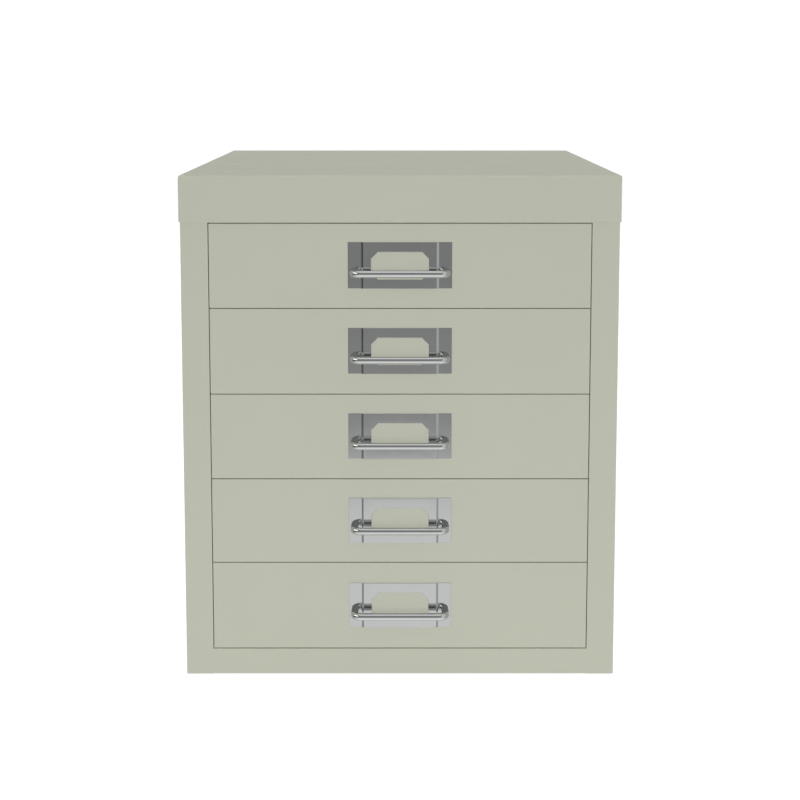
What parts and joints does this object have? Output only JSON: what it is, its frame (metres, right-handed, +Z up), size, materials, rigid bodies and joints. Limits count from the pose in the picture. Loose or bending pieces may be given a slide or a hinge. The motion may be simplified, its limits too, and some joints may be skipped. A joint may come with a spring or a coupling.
{
  "type": "multi-drawer cabinet",
  "caption": "Desktop sheet-steel cabinet: stacked shallow drawers slide out under an overlapping cap, each with a chromed label holder and a bow handle.",
  "frame": {"origin": "middle of the overall box, bow handles included, at the level that the feet stand on", "axes": "+Z up, the drawers open towards -Y, +X to the right when looking at the fronts"},
  "size_m": [0.279, 0.3941, 0.325],
  "materials": {
    "paint": "satin powder coat, warm grey-green",
    "chrome": "bright chrome plate",
    "zinc": "zinc plated",
    "nylon": "natural nylon",
    "rubber": "matt black rubber"
  },
  "bodies": {
    "carcass": {"top_cap": "paint", "rear_panel": "paint", "base_plate": "paint", "front_rail_top": "paint", "front_rail_bottom": "paint", "side_panel_right": "paint", "side_panel_left": "paint", "foot_front_right": "rubber", "foot_front_left": "rubber", "foot_rear_right": "rubber", "foot_rear_left": "rubber", "upright_front_right": "paint", "upright_front_left": "paint", "upright_rear_right": "paint", "upright_rear_left": "paint", "runner_right_1": "paint", "runner_left_1": "paint", "runner_right_2": "paint", "runner_left_2": "paint", "runner_right_3": "paint", "runner_left_3": "paint", "runner_right_4": "paint", "runner_left_4": "paint", "runner_right_5": "paint", "runner_left_5": "paint", "runner_glides_right": "nylon", "runner_glides_left": "nylon"},
    "drawer_1": {"drawer_1_front": "paint", "drawer_1_tray": "paint", "drawer_1_handle_plate": "chrome", "drawer_1_handle_bow": "chrome", "drawer_1_washers": "zinc", "drawer_1_shoes": "nylon"},
    "drawer_2": {"drawer_2_front": "paint", "drawer_2_tray": "paint", "drawer_2_handle_plate": "chrome", "drawer_2_handle_bow": "chrome", "drawer_2_washers": "zinc", "drawer_2_shoes": "nylon"},
    "drawer_3": {"drawer_3_front": "paint", "drawer_3_tray": "paint", "drawer_3_handle_plate": "chrome", "drawer_3_handle_bow": "chrome", "drawer_3_washers": "zinc", "drawer_3_shoes": "nylon"},
    "drawer_4": {"drawer_4_front": "paint", "drawer_4_tray": "paint", "drawer_4_handle_plate": "chrome", "drawer_4_handle_bow": "chrome", "drawer_4_washers": "zinc", "drawer_4_shoes": "nylon"},
    "drawer_5": {"drawer_5_front": "paint", "drawer_5_tray": "paint", "drawer_5_handle_plate": "chrome", "drawer_5_handle_bow": "chrome", "drawer_5_washers": "zinc", "drawer_5_shoes": "nylon"}
  },
  "joints": [
    {"name": "drawer_1_slide", "type": "slide", "parent": "carcass", "child": "drawer_1", "axis": [0, -1, 0], "range_m": [0, 0.2867]},
    {"name": "drawer_2_slide", "type": "slide", "parent": "carcass", "child": "drawer_2", "axis": [0, -1, 0], "range_m": [0, 0.2867]},
    {"name": "drawer_3_slide", "type": "slide", "parent": "carcass", "child": "drawer_3", "axis": [0, -1, 0], "range_m": [0, 0.2867]},
    {"name": "drawer_4_slide", "type": "slide", "parent": "carcass", "child": "drawer_4", "axis": [0, -1, 0], "range_m": [0, 0.2867]},
    {"name": "drawer_5_slide", "type": "slide", "parent": "carcass", "child": "drawer_5", "axis": [0, -1, 0], "range_m": [0, 0.2867]}
  ]
}
